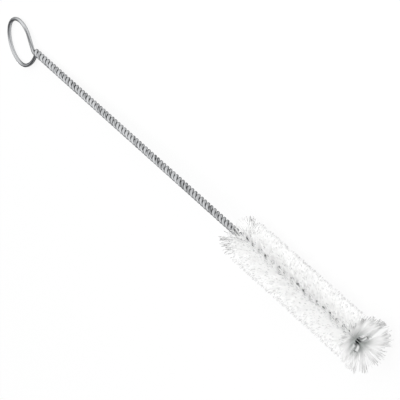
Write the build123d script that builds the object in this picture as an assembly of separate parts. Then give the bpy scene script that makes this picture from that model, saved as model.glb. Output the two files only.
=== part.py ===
from build123d import *
import os
from math import acos, atan2, ceil, cos, degrees, hypot, pi, radians, sin

# Bottle brush twisted in wire. It is modelled along +X with the neck of its ring at the origin,
# and then laid down as it comes to rest, on the ring and on the rear of its bristles.
# All sizes are in millimetres.

# Wire: one length, bent round into the ring at its middle, with its two legs twisted together
wire_diameter = 1.8
wire_sides = 6            # the drawn wire is round, and this section keeps the facets of its twist few
leg_clearance = 0.03      # from each leg to the axis, along the stem
bends_per_turn = 6        # straight runs that make one turn of the twist

# Hanging ring
ring_diameter = 25.0      # outside
ring_reach = 14.9         # from the neck back to the ring's centre
ring_offset = 2.1         # the ring sits a little to one side of the stem
ring_return = 60.0        # from the stem's direction, where the ring starts to open towards the neck
ring_bends = 24           # straight runs that would make a full circle
return_bends = 4

# Stem, and the head that follows it
stem_length = 192.0
stem_pitch = 5.75
head_length = 101.0
head_pitch = 10.95
head_diameter = 22.0      # over the filament tips

# Filaments, which lie across the axis between the two legs
ribbon_thickness = 0.3    # as they lie packed where the legs grip them
grip_clearance = 0.06     # from that ribbon to each leg
fan_half_angle = 40.0     # how far a bundle splays to each side, in degrees
fan_chords = 2            # straight edges along the tips of one fan

# Wire ends, spread over the tuft at the tip
end_straight = 1.3        # from the last bundle to the bend
end_bend_radius = 2.6
end_spread = 70.0         # from the axis, in degrees
end_bends = 4
end_tail = 1.2            # beyond the bend

# Tuft at the tip, a rosette of longer filaments in flat locks
tuft_diameter = 27.0
tuft_thickness = 0.8
tuft_lean = 20.0          # forward of square to the axis, in degrees
tuft_gap = 0.1            # from the last bundle of the head
tuft_hub_diameter = 8.0
locks_per_side = 6
lock_fan_angle = 70.0     # from the middle lock of a side to its last one, in degrees
lock_root_width = 0.9
lock_tip_width = 3.6

wire_radius = wire_diameter / 2
head_radius = head_diameter / 2
half_bend = pi / bends_per_turn
# The corners of the section reach no further than this from its centre, once the bends are mitred
leg_reach = wire_radius / cos(half_bend)
# A straight run is nearest to the axis at its middle, so its ends stand further out than that
stem_leg_radius = (leg_reach + leg_clearance) / cos(half_bend)
head_leg_radius = (leg_reach + grip_clearance + ribbon_thickness / 2) / cos(half_bend)
stem_runs = ceil(stem_length / stem_pitch * bends_per_turn)
head_runs = ceil(head_length / head_pitch * bends_per_turn)
head_run = head_length / head_runs
head_end = stem_length + head_length
# The first run of the head only opens the legs, so the filaments start after it
bristle_start = stem_length + head_run


def around_axis(x, radius, angle):
    """The point at this distance from the X axis; the angle counts from +Y towards +Z."""
    return Vector(x, radius * cos(angle), radius * sin(angle))


def stem_twist(x):
    return 2 * pi * x / stem_pitch


def head_twist(x):
    return stem_twist(stem_length) + 2 * pi * (x - stem_length) / head_pitch


def leg_points(side):
    """One leg from the neck to its cut end. It passes over the neck where side is 1, under it where -1."""
    start = side * pi / 2
    points = []
    for i in range(stem_runs):
        x = stem_length * i / stem_runs
        points.append(around_axis(x, stem_leg_radius, start + stem_twist(x)))
    for i in range(head_runs + 1):
        x = stem_length + head_run * i
        points.append(around_axis(x, head_leg_radius, start + head_twist(x)))
    last = start + head_twist(head_end)
    for i in range(end_bends + 1):
        bend = radians(end_spread) * i / end_bends
        x = head_end + end_straight + end_bend_radius * sin(bend)
        radius = head_leg_radius + end_bend_radius * (1 - cos(bend))
        points.append(around_axis(x, radius, last))
    points.append(around_axis(x + end_tail * cos(bend), radius + end_tail * sin(bend), last))
    return points


def ring_points():
    """The ring. It starts straight from the neck, and at its end it keeps bending until it meets it."""
    radius = ring_diameter / 2 - wire_radius
    half_gap = acos(radius / hypot(ring_reach, ring_offset))
    first = degrees(atan2(ring_offset, ring_reach) + half_gap)
    circle = CenterArc((-ring_reach, -ring_offset), radius, first, 360 - ring_return - first)
    back = TangentArc(circle @ 1, (0, 0), tangent=circle % 1)
    runs = ceil(circle.length / (2 * pi * radius) * ring_bends)
    points = [circle @ (i / runs) for i in range(runs)]
    # On its way back it sinks to pass under the neck
    for i in range(return_bends):
        done = i / return_bends
        points.append((back @ done) - Vector(0, 0, stem_leg_radius * done))
    return points


def make_wire():
    """The section follows one route: down a leg, round the ring and back up the other leg."""
    path = Polyline(*leg_points(1)[::-1], *ring_points(), *leg_points(-1))
    section = Plane(origin=path @ 0, z_dir=path % 0) * RegularPolygon(wire_radius, wire_sides)
    return sweep(section, path=path, transition=Transition.RIGHT)


def across_axis(x, turn):
    """The plane square to the axis at x whose Y axis points the way the filaments lie."""
    return Plane(origin=(x, 0, 0), x_dir=(0, sin(turn), -cos(turn)), z_dir=(1, 0, 0))


def fan_outline():
    """A double fan: the packed ribbon between the legs, splayed on both sides of them."""
    grip, clear = ribbon_thickness / 2, head_leg_radius + leg_reach
    spread = radians(fan_half_angle)
    side = [(grip, -clear), (grip, clear)]
    for i in range(fan_chords + 1):
        angle = spread - 2 * spread * i / fan_chords
        side.append((head_radius * sin(angle), head_radius * cos(angle)))
    return make_face(Polyline(*side, *[(-x, -y) for x, y in side], close=True))


def make_body_bristles():
    """One fan for each straight run of the legs, laid like the treads of a double spiral stair."""
    outline = fan_outline()
    fans = []
    for i in range(head_runs - 1):
        x = bristle_start + head_run * i
        fans.append(extrude(across_axis(x, head_twist(x + head_run / 2)) * outline, head_run))
    return fans[0].fuse(*fans[1:])


def make_end_tuft():
    """A hub between and around the two legs, and flat locks that lean forward from it."""
    x, turn = head_end + tuft_gap, head_twist(head_end)
    hub_radius = tuft_hub_diameter / 2
    # Each leg passes through a slot that is open to the hub's rim
    slot = Rectangle(2 * hub_radius, 2 * (leg_reach + grip_clearance))
    slot = Pos(ribbon_thickness / 2 + hub_radius) * slot
    hub = Circle(hub_radius) - slot - Rot(Z=180) * slot
    hub = extrude(across_axis(x, turn) * hub, tuft_thickness)
    lean = radians(tuft_lean)
    root = head_leg_radius + leg_reach + grip_clearance + tuft_thickness * sin(lean)
    length = (tuft_diameter / 2 - root) / cos(lean)
    outline = Polyline(
        (-lock_root_width / 2, 0), (lock_root_width / 2, 0),
        (lock_tip_width / 2, length), (-lock_tip_width / 2, length), close=True,
    )
    locks = []
    for side in (0, pi):
        for i in range(locks_per_side):
            fan = radians(lock_fan_angle) * (2 * i / (locks_per_side - 1) - 1)
            angle = turn + side + fan
            outward = around_axis(0, 1, angle)
            forward = Vector(1, 0, 0) * cos(lean) - outward * sin(lean)
            across = outward.cross(Vector(1, 0, 0))
            plane = Plane(origin=around_axis(x, root, angle), x_dir=across, z_dir=forward)
            locks.append(extrude(plane * make_face(outline), tuft_thickness))
    return hub.fuse(*locks)


def rest_tilt(wire, bristles):
    """How far the stem slopes up from the ring when the brush lies on its ring and its first filaments."""
    far_side = ring_reach + ring_diameter / 2 - wire_radius
    slope = (head_radius - wire_radius) / (bristle_start + far_side)
    heel = min(wire.vertices(), key=lambda corner: corner.Z + corner.X * slope)
    return max(atan2(heel.Z - tip.Z, tip.X - heel.X) for tip in bristles.vertices())


def lie_down(pieces, tilt):
    """Tip the brush onto the ground, with the middle of its outline at the origin."""
    tipped = [Rot(Y=-degrees(tilt)) * piece for piece in pieces]
    boxes = [piece.bounding_box() for piece in tipped]
    low_x, high_x = min(box.min.X for box in boxes), max(box.max.X for box in boxes)
    low_y, high_y = min(box.min.Y for box in boxes), max(box.max.Y for box in boxes)
    ground = min(box.min.Z for box in boxes)
    return [Pos(-(low_x + high_x) / 2, -(low_y + high_y) / 2, -ground) * piece for piece in tipped]


os.makedirs("parts", exist_ok=True)
wire, bristles, tuft = make_wire(), make_body_bristles(), make_end_tuft()
pieces = lie_down([wire, bristles, tuft], rest_tilt(wire, bristles))
for name, piece in zip(["twisted_wire", "body_bristles", "end_tuft"], pieces):
    export_step(piece, f"parts/{name}.step")
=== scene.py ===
"""A bottle brush twisted in wire: its drawn wire, its filaments and a plain studio.

The wire and every filament are laid out in the brush's own axes. There the neck of the hanging
ring is at the origin, +X runs along the stem to the tip, and the ring lies in the XY plane. Each
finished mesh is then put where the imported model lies.
"""

import random
from math import acos, asin, atan2, cos, hypot, pi, radians, sin

import bpy
from bpy.props import FloatProperty, FloatVectorProperty, IntProperty, PointerProperty
from mathutils import Matrix, Vector


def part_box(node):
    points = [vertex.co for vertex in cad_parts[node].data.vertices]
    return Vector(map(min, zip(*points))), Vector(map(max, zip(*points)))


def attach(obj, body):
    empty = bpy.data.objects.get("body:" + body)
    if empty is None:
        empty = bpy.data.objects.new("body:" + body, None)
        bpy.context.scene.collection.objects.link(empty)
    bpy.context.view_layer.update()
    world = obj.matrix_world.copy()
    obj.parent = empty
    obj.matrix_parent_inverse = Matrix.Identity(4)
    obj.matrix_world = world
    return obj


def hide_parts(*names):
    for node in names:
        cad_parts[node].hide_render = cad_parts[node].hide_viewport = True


bl_info = {
    "name": "Bottle Brush",
    "version": (1, 0, 0),
    "blender": (4, 5, 0),
    "location": "View3D > Sidebar > Brush",
    "description": "Models a twisted-wire bottle brush filament by filament",
    "category": "Add Mesh",
}

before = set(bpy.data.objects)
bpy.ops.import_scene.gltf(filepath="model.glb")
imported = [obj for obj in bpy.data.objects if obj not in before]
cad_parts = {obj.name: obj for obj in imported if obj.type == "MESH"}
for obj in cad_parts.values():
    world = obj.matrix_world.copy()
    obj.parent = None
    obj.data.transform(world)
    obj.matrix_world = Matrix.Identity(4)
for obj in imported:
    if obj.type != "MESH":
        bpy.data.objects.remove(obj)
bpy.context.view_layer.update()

MM = 0.001


class BrushWire(bpy.types.PropertyGroup):
    """Sizes and finish of the twisted wire."""

    diameter: FloatProperty(
        name="Wire diameter", description="Diameter of the drawn wire",
        default=1.8 * MM, unit="LENGTH",
    )
    ring_diameter: FloatProperty(
        name="Ring diameter", description="Outside diameter of the hanging ring",
        default=25.0 * MM, unit="LENGTH",
    )
    ring_reach: FloatProperty(
        name="Ring reach", description="From the neck back to the ring's centre",
        default=14.9 * MM, unit="LENGTH",
    )
    ring_offset: FloatProperty(
        name="Ring offset", description="How far the ring sits to one side of the stem",
        default=2.1 * MM, unit="LENGTH",
    )
    ring_return: FloatProperty(
        name="Ring return",
        description="From the stem's direction, where the ring opens to the neck",
        default=radians(60), subtype="ANGLE",
    )
    stem_length: FloatProperty(
        name="Stem length", description="From the neck to the head",
        default=192.0 * MM, unit="LENGTH",
    )
    stem_pitch: FloatProperty(
        name="Stem pitch", description="Length of one turn of the twist along the stem",
        default=5.75 * MM, unit="LENGTH",
    )
    head_length: FloatProperty(
        name="Head length", description="Length of wire that grips the filaments",
        default=101.0 * MM, unit="LENGTH",
    )
    head_pitch: FloatProperty(
        name="Head pitch", description="Length of one turn of the twist along the head",
        default=10.95 * MM, unit="LENGTH",
    )
    zinc: FloatVectorProperty(
        name="Zinc", description="Colour of the clean zinc on the wire",
        default=(0.58, 0.59, 0.60), subtype="COLOR",
    )
    shade: FloatVectorProperty(
        name="Shaded zinc", description="Colour of the dull streaks along the wire",
        default=(0.17, 0.175, 0.18), subtype="COLOR",
    )
    # Painted highlight: the colour painted on the two ends in place of their glint
    painted_highlight: FloatVectorProperty(
        name="Painted highlight", description="Colour of the two ends, which are rubbed bright",
        default=(0.82, 0.83, 0.82), subtype="COLOR",
    )
    gap: FloatProperty(
        name="Gap shade",
        description="How much of its brightness the zinc keeps deep between the legs",
        default=0.06, min=0.0, max=1.0,
    )


class BrushHead(bpy.types.PropertyGroup):
    """The filaments of the head."""

    diameter: FloatProperty(
        name="Head diameter", description="Over the filament tips",
        default=22.0 * MM, unit="LENGTH",
    )
    filament: FloatProperty(
        name="Filament diameter", description="Diameter of one nylon filament",
        default=0.17 * MM, unit="LENGTH",
    )
    count: IntProperty(
        name="Filaments", description="Filaments in the head, each with two tips",
        default=1300, min=10,
    )
    turn_splay: FloatProperty(
        name="Splay round the axis", description="Spread of the tips round the axis",
        default=radians(12), subtype="ANGLE",
    )
    lean_splay: FloatProperty(
        name="Splay along the axis", description="Spread of the tips along the axis",
        default=radians(7), subtype="ANGLE",
    )
    rear_push: FloatProperty(
        name="Rear push",
        description="How far the rearmost filaments are pushed forward, on one side",
        default=radians(38), subtype="ANGLE",
    )
    rear_stray: FloatProperty(
        name="Rear strays", description="How far the last stray filaments lean back, at most",
        default=radians(75), subtype="ANGLE",
    )
    rear_reach: FloatProperty(
        name="Rear reach", description="Length of head over which both die out",
        default=10.0 * MM, unit="LENGTH",
    )
    nylon: FloatVectorProperty(
        name="Nylon", description="Colour of the filaments",
        default=(0.97, 0.97, 0.965), subtype="COLOR",
    )
    # Painted shade: the filaments are painted grey towards their tips, for the grey outline of the
    # head and tuft
    tip: FloatVectorProperty(
        name="Tips", description="Colour of the filaments towards their cut tips",
        default=(0.02, 0.02, 0.02), subtype="COLOR",
    )


class BrushTuft(bpy.types.PropertyGroup):
    """The rosette of longer filaments at the tip."""

    diameter: FloatProperty(
        name="Tuft diameter", description="Over the tips of the rosette",
        default=27.0 * MM, unit="LENGTH",
    )
    count: IntProperty(
        name="Filaments", description="Filaments in the tuft, each with two tips",
        default=280, min=10,
    )
    lean: FloatProperty(
        name="Lean", description="Forward of square to the axis",
        default=radians(20), subtype="ANGLE",
    )
    root: FloatVectorProperty(
        name="Roots", description="Colour of the shaded roots, deep in the rosette",
        default=(0.50, 0.53, 0.51), subtype="COLOR",
    )


class BrushStage(bpy.types.PropertyGroup):
    """The floor and the light."""

    floor: FloatVectorProperty(
        name="Floor", description="Colour of the floor",
        default=(0.86, 0.86, 0.86), subtype="COLOR",
    )
    sky: FloatProperty(name="Sky", description="Strength of the soft light all round", default=1.3)
    key: FloatProperty(name="Key lamp", description="Power of the key lamp in watts", default=8.5)


# The twist, measured from the brush's axis
leg_clearance = 0.02 * MM        # to each leg, along the stem
grip_clearance = 0.17 * MM       # to each leg, along the head, where filaments lie between them
parting = 3.0 * MM               # length over which the legs part for the head
points_per_turn = 24

# The two wire ends, spread over the tuft
end_straight = 1.3 * MM          # from the head to the bend
end_bend_radius = 2.6 * MM
end_spread = radians(70)         # from the axis
end_bend_steps = 9
end_tail = 1.2 * MM              # beyond the bend

# The ring and its neck
circle_steps = 140
return_steps = 40
neck_step = 0.4 * MM             # between the points of the straight stretch at the neck
neck_softening = 3.0 * MM        # round the neck, where the corners of the route are rounded off
softening_passes = 6

# How a tube becomes a mesh
wire_roundness = 4
filament_roundness = 0           # a square section, which is enough for a hair
merge_distance = 0.001 * MM
sharp_edge = radians(50)

# How the filaments are held and how they lie; all angles round the axis are from +Y towards +Z
head_seed, tuft_seed = 7, 11
bristle_start = 193.8 * MM       # the first filaments, from the neck
head_grip = 1.8 * MM             # from the axis, where the legs let a filament go
head_bend = (4, 0.45)            # straight runs in each half of a filament, and its stiffness
head_packing = 0.1 * MM          # to each side of the axis
head_unevenness = 0.4 * MM       # of the filaments' lengths
pushed_side = radians(40)        # where the rear of the head is pushed forward
stray_thinning = 0.6             # how much less the strays lean back on that side
tuft_grip = 1.3 * MM
tuft_bend = (6, 0.2)
tuft_packing = 0.12 * MM
tuft_bundle = (0.2, 1.4)         # the stretch of axis that holds the tuft, past the head, in mm
tuft_fan = 1.15 * pi / 2         # to each side of the direction in which the filaments are held
tuft_locks = (0, 25, 50, 72, 95, 121, 157, 184, 211, 227, 255, 276, 312, 335)   # in degrees
lock_share = 0.65                # of the filaments that gather into those locks
lock_spread = radians(3)
tuft_fullness = 1.04             # the longest filaments, as a share of the tuft's radius
short_side = radians(110)
short_loss = 0.2                 # how much shorter the rosette is on that side, as such a share
tuft_unevenness = 1.3 * MM
lean_spread = radians(4.5)

# The finish of the wire, with painted shade between its legs and a painted highlight on its ends
edge_tint = (0.05, 0.05, 0.05)   # how little the zinc lights up at a glancing view
streak_size = (40.0, 7.0, 1.0)   # streaks along the wire and round it, on its UV map
streak_detail = 4.0
streak_edge = (0.37, 0.48)       # from dull to clean, in the streaks' noise
gap_depth = (0.95 * MM, 1.35 * MM)     # from the axis, over which the gap's shade dies out
darkening_start = 130.0 * MM       # from the neck; it gets darker from there to the head
darkened = 0.8                     # the brightness that the zinc keeps at the head
highlight_past = (2.2 * MM, 4.0 * MM)     # past the head, over which the ends turn bright with the painted highlight
grain_size = 900.0
grain_gloss = (0.22, 0.42)       # roughness
grain_strength = 0.15
grain_height = 0.05 * MM

# The finish of the nylon, with painted shade at its tips, on its strays and at the tuft's roots;
# depths are from the axis, and tones are shares of the tips' colour
nylon_roughness = 0.45
nylon_ior = 1.53
head_tip_shade = (9.4 * MM, 10.5 * MM)
head_tones = (0.3, 0.7)          # the least and the most on one filament
tuft_tip_shade = (9.5 * MM, 14.0 * MM)
tuft_tones = (0.0, 1.0)
root_shade = (2.0 * MM, 7.0 * MM)
stray_stretch = 3.0 * MM         # from the first filaments, over which the strays are painted grey as painted shade
stray_shade = 0.8

# The studio
floor_width = 12.0
floor_drop = 0.2 * MM            # keeps it clear of what lies on it
floor_seen = (0.12, 0.12, 0.12)  # what the camera sees of its colour, besides its glow
floor_glow = 0.86
floor_roughness = 0.9
window_direction = Vector((-0.30, 0.50, 0.80))
window_edge = (0.20, 0.75)       # how nearly a direction points there, from dim to bright
dim_sky, full_sky = (0.30, 0.30, 0.31), (1, 1, 1)
key_place = Vector((0.45, 0.85, 0.75))
key_width = 1.2


def smooth_step(t):
    t = max(0.0, min(1.0, t))
    return t * t * (3 - 2 * t)


def rest_place():
    """From the brush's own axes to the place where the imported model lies."""
    wire, head = bpy.context.scene.brush_wire, bpy.context.scene.brush_head
    wire_radius = wire.diameter / 2
    far_side = wire.ring_reach + wire.ring_diameter / 2
    rise = head.diameter / 2 - wire_radius
    tilt = asin(rise / (bristle_start + far_side - wire_radius))
    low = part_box("twisted_wire")[0]
    neck = Vector((
        low.x + far_side * cos(tilt),
        low.y + wire.ring_offset + wire.ring_diameter / 2,
        wire_radius + (far_side - wire_radius) * sin(tilt),
    ))
    return Matrix.Translation(neck) @ Matrix.Rotation(-tilt, 4, "Y")


def around_axis(x, radius, angle):
    """The point at this distance from the axis; the angle counts from +Y towards +Z."""
    return Vector((x, radius * cos(angle), radius * sin(angle)))


def head_end():
    """The end of the head, from the neck."""
    wire = bpy.context.scene.brush_wire
    return wire.stem_length + wire.head_length


def twist_at(x):
    """How far the two legs have turned at this distance from the neck."""
    wire = bpy.context.scene.brush_wire
    in_stem, in_head = min(x, wire.stem_length), max(0.0, x - wire.stem_length)
    return 2 * pi * (in_stem / wire.stem_pitch + in_head / wire.head_pitch)


def straight(start, end, step):
    """Points along a straight stretch, without its end."""
    count = max(1, round((end - start).length / step))
    return [start.lerp(end, i / count) for i in range(count)]


def leg_route(side):
    """One leg from the neck to its cut end, which spreads over the tuft."""
    wire = bpy.context.scene.brush_wire
    stem_radius = wire.diameter / 2 + leg_clearance
    head_radius = wire.diameter / 2 + grip_clearance
    points, x = [], 0.0
    while x < head_end():
        parted = smooth_step((x - wire.stem_length) / parting)
        radius = stem_radius + (head_radius - stem_radius) * parted
        points.append(around_axis(x, radius, side * pi / 2 + twist_at(x)))
        x += (wire.stem_pitch if x < wire.stem_length else wire.head_pitch) / points_per_turn
    last = side * pi / 2 + twist_at(head_end())
    for i in range(end_bend_steps + 1):
        bend = end_spread * i / end_bend_steps
        points.append(around_axis(
            head_end() + end_straight + end_bend_radius * sin(bend),
            head_radius + end_bend_radius * (1 - cos(bend)), last,
        ))
    outward = around_axis(cos(end_spread), sin(end_spread), last)
    points.append(points[-1] + outward * end_tail)
    return points


def ring_route():
    """The hanging ring: straight out from the neck, round its circle, and in a wider arc back."""
    wire = bpy.context.scene.brush_wire
    radius = wire.ring_diameter / 2 - wire.diameter / 2
    under_neck = wire.diameter / 2 + leg_clearance
    half_gap = acos(radius / hypot(wire.ring_reach, wire.ring_offset))
    first = atan2(wire.ring_offset, wire.ring_reach) + half_gap
    last = 2 * pi - wire.ring_return
    centre = Vector((-wire.ring_reach, -wire.ring_offset, 0))
    circle = []
    for i in range(circle_steps + 1):
        angle = first + (last - first) * i / circle_steps
        circle.append(centre + Vector((cos(angle), sin(angle), 0)) * radius)
    leaves = circle[-1]
    ahead, inward = Vector((-sin(last), cos(last), 0)), Vector((-cos(last), -sin(last), 0))
    half_turn = ahead.angle(-leaves)
    back_radius = leaves.length / (2 * sin(half_turn))
    back = []
    for i in range(1, return_steps):
        done = i / return_steps
        turn = 2 * half_turn * done
        point = leaves + (ahead * sin(turn) + inward * (1 - cos(turn))) * back_radius
        # It sinks on its way, to pass under the neck
        back.append(point - Vector((0, 0, under_neck * done)))
    out = straight(Vector((0, 0, under_neck)), circle[0], neck_step)
    return out[1:] + circle + back


def soften(points, centre, reach, passes):
    """Round off the corners of a route near one place, as bending does."""
    near = [i for i in range(1, len(points) - 1) if (points[i] - centre).length < reach]
    for _ in range(passes):
        moved = {i: (points[i - 1] + 2 * points[i] + points[i + 1]) / 4 for i in near}
        for i, place in moved.items():
            points[i] = place


def half_filament(root, along, tip, bend):
    """Points from a root to a tip; the filament leaves its root in one direction and bends."""
    steps, stiffness = bend
    knee = root + along * ((tip - root).length * stiffness)
    points = []
    for i in range(steps + 1):
        t = i / steps
        points.append(root * (1 - t) ** 2 + knee * (2 * t * (1 - t)) + tip * t ** 2)
    return points


def new_curve(name, depth, resolution):
    """An empty curve object whose splines will be round tubes."""
    bpy.ops.object.select_all(action="DESELECT")
    bpy.ops.curve.primitive_nurbs_path_add()
    curve = bpy.context.object
    curve.name = name
    curve.data.splines.clear()
    curve.data.bevel_depth = depth
    curve.data.bevel_resolution = resolution
    curve.data.use_fill_caps = True
    return curve


def add_spline(curve, points):
    spline = curve.data.splines.new("POLY")
    spline.points.add(len(points) - 1)
    for point, place in zip(spline.points, points):
        point.co = (*place, 1)


def finish_piece(material, node):
    """Make the curve a closed mesh, put it where the brush lies and let it stand for its node."""
    bpy.ops.object.convert(target="MESH")
    piece = bpy.context.object
    bpy.ops.object.mode_set(mode="EDIT")
    bpy.ops.mesh.select_all(action="SELECT")
    bpy.ops.mesh.remove_doubles(threshold=merge_distance)
    bpy.ops.mesh.normals_make_consistent(inside=False)
    bpy.ops.object.mode_set(mode="OBJECT")
    bpy.ops.object.shade_smooth_by_angle(angle=sharp_edge)
    piece.data.transform(rest_place())
    piece.data.materials.clear()
    piece.data.materials.append(material)
    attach(piece, "root")
    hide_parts(node)


def new_material(name):
    material = bpy.data.materials.new(name)
    material.use_nodes = True
    return material, material.node_tree.nodes, material.node_tree.links


def mapped(nodes, links, value, span, onto=(0.0, 1.0)):
    """A value that crosses one range, put onto another one and held at its ends."""
    node = nodes.new("ShaderNodeMapRange")
    for name, number in zip(("From Min", "From Max", "To Min", "To Max"), (*span, *onto)):
        node.inputs[name].default_value = number
    links.new(value, node.inputs["Value"])
    return node.outputs["Result"]


def combined(nodes, links, operation, first, second):
    """Two values brought together by one operation."""
    node = nodes.new("ShaderNodeMath")
    node.operation = operation
    links.new(first, node.inputs[0])
    links.new(second, node.inputs[1])
    return node.outputs["Value"]


def blended(nodes, links, share, first, second):
    """One colour that turns into another; each is a fixed colour or comes from a node."""
    node = nodes.new("ShaderNodeMix")
    node.data_type = "RGBA"
    links.new(share, node.inputs["Factor"])
    for socket, colour in (("A", first), ("B", second)):
        if isinstance(colour, bpy.types.NodeSocket):
            links.new(colour, node.inputs[socket])
        else:
            node.inputs[socket].default_value = (*colour, 1)
    return node.outputs["Result"]


def two_colour_ramp(nodes, links, value, edges, first, second):
    """A ramp from one colour to another between two values."""
    node = nodes.new("ShaderNodeValToRGB")
    for element, position, colour in zip(node.color_ramp.elements, edges, (first, second)):
        element.position = position
        element.color = (*colour, 1)
    links.new(value, node.inputs["Fac"])
    return node.outputs["Color"]


def in_brush_axes(nodes, links):
    """The place of a shaded point in the brush's own axes."""
    place = nodes.new("ShaderNodeTexCoord")
    level = rest_place().inverted()
    centre = nodes.new("ShaderNodeMapping")
    centre.inputs["Location"].default_value = level.to_translation()
    centre.inputs["Rotation"].default_value = level.to_euler()
    links.new(place.outputs["Object"], centre.inputs["Vector"])
    return centre.outputs["Vector"]


def distance_from_neck(nodes, links):
    """How far along the brush a shaded point lies."""
    along = nodes.new("ShaderNodeSeparateXYZ")
    links.new(in_brush_axes(nodes, links), along.inputs["Vector"])
    return along.outputs["X"]


def distance_from_axis(nodes, links):
    """The distance of a shaded point from the stem and head; their axis ends at the neck."""
    # Along the axis only what lies behind the neck counts
    behind = nodes.new("ShaderNodeVectorMath")
    behind.operation = "MINIMUM"
    behind.inputs[1].default_value = (0, 1, 1)
    links.new(in_brush_axes(nodes, links), behind.inputs[0])
    radius = nodes.new("ShaderNodeVectorMath")
    radius.operation = "LENGTH"
    links.new(behind.outputs["Vector"], radius.inputs[0])
    return radius.outputs["Value"]


def zinc_colour(nodes, links, wire):
    """Streaks of clean and dull zinc, with painted shade between the legs, darker towards the
    head.
    """
    along_wire = nodes.new("ShaderNodeUVMap")
    stretch = nodes.new("ShaderNodeMapping")
    stretch.inputs["Scale"].default_value = streak_size
    links.new(along_wire.outputs["UV"], stretch.inputs["Vector"])
    streaks = nodes.new("ShaderNodeTexNoise")
    streaks.inputs["Scale"].default_value = 1.0
    streaks.inputs["Detail"].default_value = streak_detail
    links.new(stretch.outputs["Vector"], streaks.inputs["Vector"])
    streaked = two_colour_ramp(
        nodes, links, streaks.outputs["Fac"], streak_edge, wire.shade, wire.zinc,
    )
    # Painted shade: the zinc is darkened deep between the legs, where shade falls
    out_of_gap = mapped(nodes, links, distance_from_axis(nodes, links), gap_depth, (wire.gap, 1.0))
    from_neck = distance_from_neck(nodes, links)
    darkening = mapped(nodes, links, from_neck, (darkening_start, wire.stem_length), (1.0, darkened))
    shaded = nodes.new("ShaderNodeVectorMath")
    shaded.operation = "SCALE"
    links.new(streaked, shaded.inputs[0])
    links.new(combined(nodes, links, "MULTIPLY", out_of_gap, darkening), shaded.inputs["Scale"])
    # Painted highlight: the two ends, spread over the tuft, are painted bright
    at_end = mapped(nodes, links, from_neck, [head_end() + past for past in highlight_past])
    return blended(nodes, links, at_end, shaded.outputs["Vector"], wire.painted_highlight)


def zinc_material(wire):
    """Bright drawn zinc with a fine grain."""
    material, nodes, links = new_material("galvanised_wire")
    shader = nodes["Principled BSDF"]
    shader.inputs["Metallic"].default_value = 1.0
    shader.inputs["Specular Tint"].default_value = (*edge_tint, 1)
    links.new(zinc_colour(nodes, links, wire), shader.inputs["Base Color"])
    place = nodes.new("ShaderNodeTexCoord")
    grain = nodes.new("ShaderNodeTexNoise")
    grain.inputs["Scale"].default_value = grain_size
    links.new(place.outputs["Object"], grain.inputs["Vector"])
    rough = mapped(nodes, links, grain.outputs["Fac"], (0.0, 1.0), grain_gloss)
    links.new(rough, shader.inputs["Roughness"])
    bump = nodes.new("ShaderNodeBump")
    bump.inputs["Strength"].default_value = grain_strength
    bump.inputs["Distance"].default_value = grain_height
    links.new(grain.outputs["Fac"], bump.inputs["Height"])
    links.new(bump.outputs["Normal"], shader.inputs["Normal"])
    return material


def nylon_material(name, head, tip_shade, tones, root=None):
    """White nylon, painted grey towards the cut tips as painted shade, with painted shade towards
    the roots when a root colour is given.
    """
    material, nodes, links = new_material(name)
    shader = nodes["Principled BSDF"]
    shader.inputs["Roughness"].default_value = nylon_roughness
    shader.inputs["IOR"].default_value = nylon_ior
    radius = distance_from_axis(nodes, links)
    # Painted shade: grey painted on towards the tips
    at_tip = mapped(nodes, links, radius, tip_shade)
    # Each filament has its own tone, so that single ones stand out from the rest
    single = nodes.new("ShaderNodeNewGeometry")
    tone = mapped(nodes, links, single.outputs["Random Per Island"], (0.0, 1.0), tones)
    # The stray filaments that lean back over the stem are thinly spread, and are painted grey all
    # along as painted shade
    strays = (bristle_start + stray_stretch, bristle_start)
    stray = mapped(nodes, links, distance_from_neck(nodes, links), strays, (0.0, stray_shade))
    grey = combined(nodes, links, "MULTIPLY", at_tip, tone)
    share = combined(nodes, links, "MAXIMUM", grey, stray)
    colour = blended(nodes, links, share, head.nylon, head.tip)
    if root:
        out_of_shade = mapped(nodes, links, radius, root_shade)
        colour = blended(nodes, links, out_of_shade, root, colour)
    links.new(colour, shader.inputs["Base Color"])
    return material


class BRUSH_OT_wire(bpy.types.Operator):
    """Bend the wire round its ring and twist its two legs together"""

    bl_idname = "brush.wire"
    bl_label = "Twisted wire"

    def execute(self, context):
        wire = context.scene.brush_wire
        route = leg_route(1)[::-1] + ring_route() + leg_route(-1)
        soften(route, Vector((0, 0, 0)), neck_softening, softening_passes)
        curve = new_curve("twisted_wire_drawn", wire.diameter / 2, wire_roundness)
        add_spline(curve, route)
        finish_piece(zinc_material(wire), "twisted_wire")
        return {"FINISHED"}


class BRUSH_OT_head(bpy.types.Operator):
    """Lay the head's filaments between the legs, one by one"""

    bl_idname = "brush.head"
    bl_label = "Head filaments"

    def execute(self, context):
        head = context.scene.brush_head
        draw = random.Random(head_seed)
        curve = new_curve("head_filaments", head.filament / 2, filament_roundness)
        for i in range(head.count):
            x = bristle_start + (head_end() - bristle_start) * (i + draw.random()) / head.count
            turn = twist_at(x)
            rear = max(0.0, 1 - (x - bristle_start) / head.rear_reach)
            core = Vector((x, 0, 0))
            core += around_axis(0, draw.uniform(-head_packing, head_packing), turn + pi / 2)
            halves = []
            for side in (0, pi):
                along = around_axis(0, 1, turn + side)
                angle = turn + side + draw.gauss(0, head.turn_splay)
                length = head.diameter / 2 - abs(draw.gauss(0, head_unevenness))
                lean = draw.gauss(0, head.lean_splay)
                # At the rear the pile is pushed forward on one side, and a few strays lean back
                pushed = max(0.0, cos(angle - pushed_side)) ** 2
                lean += head.rear_push * rear * pushed
                lean -= head.rear_stray * draw.random() * rear * (1 - stray_thinning * pushed)
                tip = around_axis(x + length * sin(lean), length * cos(lean), angle)
                halves.append(half_filament(core + along * head_grip, along, tip, head_bend))
            add_spline(curve, halves[0][::-1] + halves[1])
        material = nylon_material("white_nylon", head, head_tip_shade, head_tones)
        finish_piece(material, "body_bristles")
        return {"FINISHED"}


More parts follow.
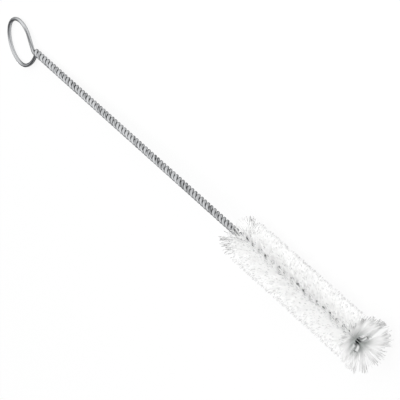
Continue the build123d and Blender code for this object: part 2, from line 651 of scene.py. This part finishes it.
class BRUSH_OT_tuft(bpy.types.Operator):
    """Splay the longer filaments at the tip into a rosette"""

    bl_idname = "brush.tuft"
    bl_label = "Tip tuft"

    def execute(self, context):
        head, tuft = context.scene.brush_head, context.scene.brush_tuft
        draw = random.Random(tuft_seed)
        curve = new_curve("tuft_filaments", head.filament / 2, filament_roundness)
        turn = twist_at(head_end())
        locks = [radians(angle) for angle in tuft_locks]
        for i in range(tuft.count):
            x = head_end() + draw.uniform(*tuft_bundle) * MM
            core = Vector((x, 0, 0))
            core += around_axis(0, draw.uniform(-tuft_packing, tuft_packing), turn + pi / 2)
            halves = []
            for side in (0, pi):
                along = around_axis(0, 1, turn + side)
                angle = turn + side + draw.uniform(-tuft_fan, tuft_fan)
                # Most of them gather into locks, and the rest fill the spaces between them
                if draw.random() < lock_share:
                    away = [(angle - lock + pi) % (2 * pi) - pi for lock in locks]
                    angle -= min(away, key=abs) - draw.gauss(0, lock_spread)
                reach = tuft_fullness - short_loss * max(0.0, cos(angle - short_side)) ** 3
                length = tuft.diameter / 2 * reach - abs(draw.gauss(0, tuft_unevenness))
                lean = tuft.lean + draw.gauss(0, lean_spread)
                tip = around_axis(x + length * sin(lean), length, angle)
                halves.append(half_filament(core + along * tuft_grip, along, tip, tuft_bend))
            add_spline(curve, halves[0][::-1] + [core] + halves[1])
        material = nylon_material("white_nylon_tuft", head, tuft_tip_shade, tuft_tones, tuft.root)
        finish_piece(material, "end_tuft")
        return {"FINISHED"}


def floor_material(stage):
    """Pale floor that the camera sees almost white, with a faint shadow left on it."""
    material, nodes, links = new_material("pale_floor")
    shader = nodes["Principled BSDF"]
    shader.inputs["Roughness"].default_value = floor_roughness
    shader.inputs["Specular IOR Level"].default_value = 0.0
    shader.inputs["Emission Color"].default_value = (1, 1, 1, 1)
    path = nodes.new("ShaderNodeLightPath")
    seen = combined(
        nodes, links, "MAXIMUM", path.outputs["Is Camera Ray"], path.outputs["Is Glossy Ray"],
    )
    seen = combined(nodes, links, "MAXIMUM", seen, path.outputs["Is Transmission Ray"])
    links.new(blended(nodes, links, seen, stage.floor, floor_seen), shader.inputs["Base Color"])
    glow = mapped(nodes, links, seen, (0.0, 1.0), (0.0, floor_glow))
    links.new(glow, shader.inputs["Emission Strength"])
    return material


def studio_world(stage):
    """Soft light from above and all round, brightest high up behind the ring, as by a window."""
    world = bpy.context.scene.world or bpy.data.worlds.new("Studio")
    bpy.context.scene.world = world
    world.use_nodes = True
    nodes, links = world.node_tree.nodes, world.node_tree.links
    sky = nodes["Background"]
    sky.inputs["Strength"].default_value = stage.sky
    look = nodes.new("ShaderNodeTexCoord")
    facing = nodes.new("ShaderNodeVectorMath")
    facing.operation = "DOT_PRODUCT"
    facing.inputs[1].default_value = window_direction.normalized()
    links.new(look.outputs["Generated"], facing.inputs[0])
    light = two_colour_ramp(
        nodes, links, facing.outputs["Value"], window_edge, dim_sky, full_sky,
    )
    links.new(light, sky.inputs["Color"])


def photo_camera():
    """The photograph's view, solved in the brush's own axes from its stem and its ring."""
    frame_pixels, focal_pixels = 400, 4430
    # A point of the stem's axis just past the neck, and where the photograph shows it
    seen_point, seen_pixel = Vector((4.2, 0, 0)) * MM, (39.2, 55.15)
    distance = 2.126
    right = Vector((0.473, -0.015, -0.881)).normalized()
    back = Vector((0.772, 0.489, 0.406))
    back = (back - right * back.dot(right)).normalized()
    facing = Matrix((right, back.cross(right), back)).transposed()
    ray = Vector((
        seen_pixel[0] - frame_pixels / 2, frame_pixels / 2 - seen_pixel[1], -focal_pixels,
    ))
    turned = facing @ ray.rotation_difference(Vector((0, 0, -1))).to_matrix()
    bpy.ops.object.camera_add()
    camera = bpy.context.object
    place = Matrix.Translation(seen_point + back * distance)
    camera.matrix_world = rest_place() @ place @ turned.to_4x4()
    camera.data.sensor_width = 36.0
    camera.data.lens = camera.data.sensor_width * focal_pixels / frame_pixels
    camera.data.clip_start = 0.05
    bpy.context.scene.camera = camera


class BRUSH_OT_stage(bpy.types.Operator):
    """Put up the floor, the light and the camera"""

    bl_idname = "brush.stage"
    bl_label = "Stage"

    def execute(self, context):
        stage = context.scene.brush_stage
        bpy.ops.object.select_all(action="DESELECT")
        bpy.ops.mesh.primitive_plane_add(size=floor_width, location=(0, 0, -floor_drop))
        floor = context.object
        floor.name = "floor"
        floor.data.materials.append(floor_material(stage))
        studio_world(stage)
        bpy.ops.object.light_add(type="AREA", location=key_place)
        key = context.object
        key.name = "key_lamp"
        key.data.energy = stage.key
        key.data.size = key_width
        key.visible_glossy = False
        key.rotation_euler = (-key_place).to_track_quat("-Z", "Y").to_euler()
        photo_camera()
        context.scene.view_settings.view_transform = "Standard"
        return {"FINISHED"}


class BRUSH_PT_panel(bpy.types.Panel):
    """The steps of the brush, in order"""

    bl_label = "Bottle Brush"
    bl_space_type = "VIEW_3D"
    bl_region_type = "UI"
    bl_category = "Brush"

    def draw(self, context):
        for operator in OPERATORS:
            self.layout.operator(operator.bl_idname)


OPERATORS = (BRUSH_OT_wire, BRUSH_OT_head, BRUSH_OT_tuft, BRUSH_OT_stage)
GROUPS = {
    "brush_wire": BrushWire, "brush_head": BrushHead, "brush_tuft": BrushTuft,
    "brush_stage": BrushStage,
}


def register():
    for group in GROUPS.values():
        bpy.utils.register_class(group)
    for name, group in GROUPS.items():
        setattr(bpy.types.Scene, name, PointerProperty(type=group))
    for operator in OPERATORS:
        bpy.utils.register_class(operator)
    bpy.utils.register_class(BRUSH_PT_panel)


def unregister():
    bpy.utils.unregister_class(BRUSH_PT_panel)
    for operator in reversed(OPERATORS):
        bpy.utils.unregister_class(operator)
    for name, group in reversed(GROUPS.items()):
        delattr(bpy.types.Scene, name)
        bpy.utils.unregister_class(group)


def main():
    register()
    bpy.ops.brush.wire()
    bpy.ops.brush.head()
    bpy.ops.brush.tuft()
    bpy.ops.brush.stage()


if __name__ == "__main__":
    main()
